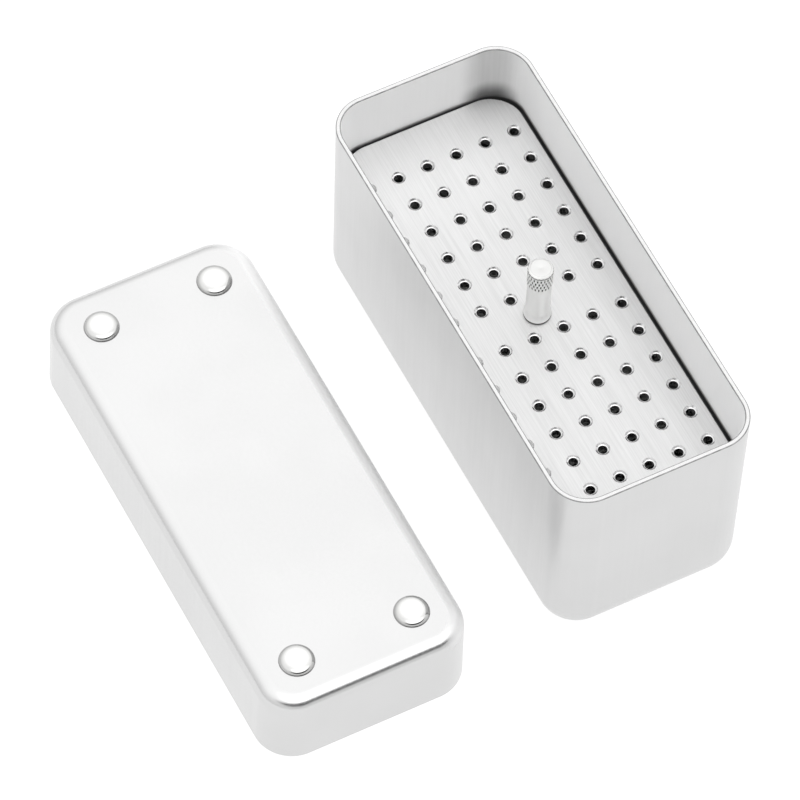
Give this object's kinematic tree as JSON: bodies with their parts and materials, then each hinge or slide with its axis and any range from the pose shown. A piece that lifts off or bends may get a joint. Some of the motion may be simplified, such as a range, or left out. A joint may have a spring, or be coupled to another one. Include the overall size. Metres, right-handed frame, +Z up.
{
  "type": "endodontic box",
  "caption": "Drawn metal endodontic box with a lift-out perforated file rack, a knurled lifting post and a loose slip-over lid.",
  "frame": {"origin": "middle of the box's flat underside, on the surface that the box and its lid stand on", "axes": "+X along the box's length, +Y across it with the lid on the -Y side, +Z up"},
  "size_m": [0.1061, 0.1053, 0.05],
  "materials": {
    "drawn_aluminium": "satin anodised",
    "brushed_aluminium": "brushed",
    "turned_aluminium": "turned",
    "turned_steel": "turned and knurled",
    "plated_steel": "plated",
    "polished_steel": "polished"
  },
  "bodies": {
    "box": {"box_body": "drawn_aluminium"},
    "rack": {"rack_top_plate": "brushed_aluminium", "rack_guide_plate": "brushed_aluminium", "lifting_post": "turned_steel", "post_washer": "plated_steel", "post_nut": "plated_steel", "rack_pillar_1": "turned_aluminium", "rack_pillar_2": "turned_aluminium", "rack_pillar_3": "turned_aluminium", "rack_pillar_4": "turned_aluminium", "rack_foot_1": "turned_aluminium", "rack_foot_2": "turned_aluminium", "rack_foot_3": "turned_aluminium", "rack_foot_4": "turned_aluminium"},
    "lid": {"lid_shell": "drawn_aluminium", "lid_stud_1": "polished_steel", "lid_stud_2": "polished_steel", "lid_stud_3": "polished_steel", "lid_stud_4": "polished_steel"}
  },
  "joints": [
    {"name": "rack_lift", "type": "slide", "parent": "box", "child": "rack", "axis": [0, 0, 1], "range_m": [0, 0.06]},
    {"name": "lid_lift", "type": "slide", "parent": "box", "child": "lid", "axis": [0, 0, 1], "range_m": [0, 0.08]}
  ]
}
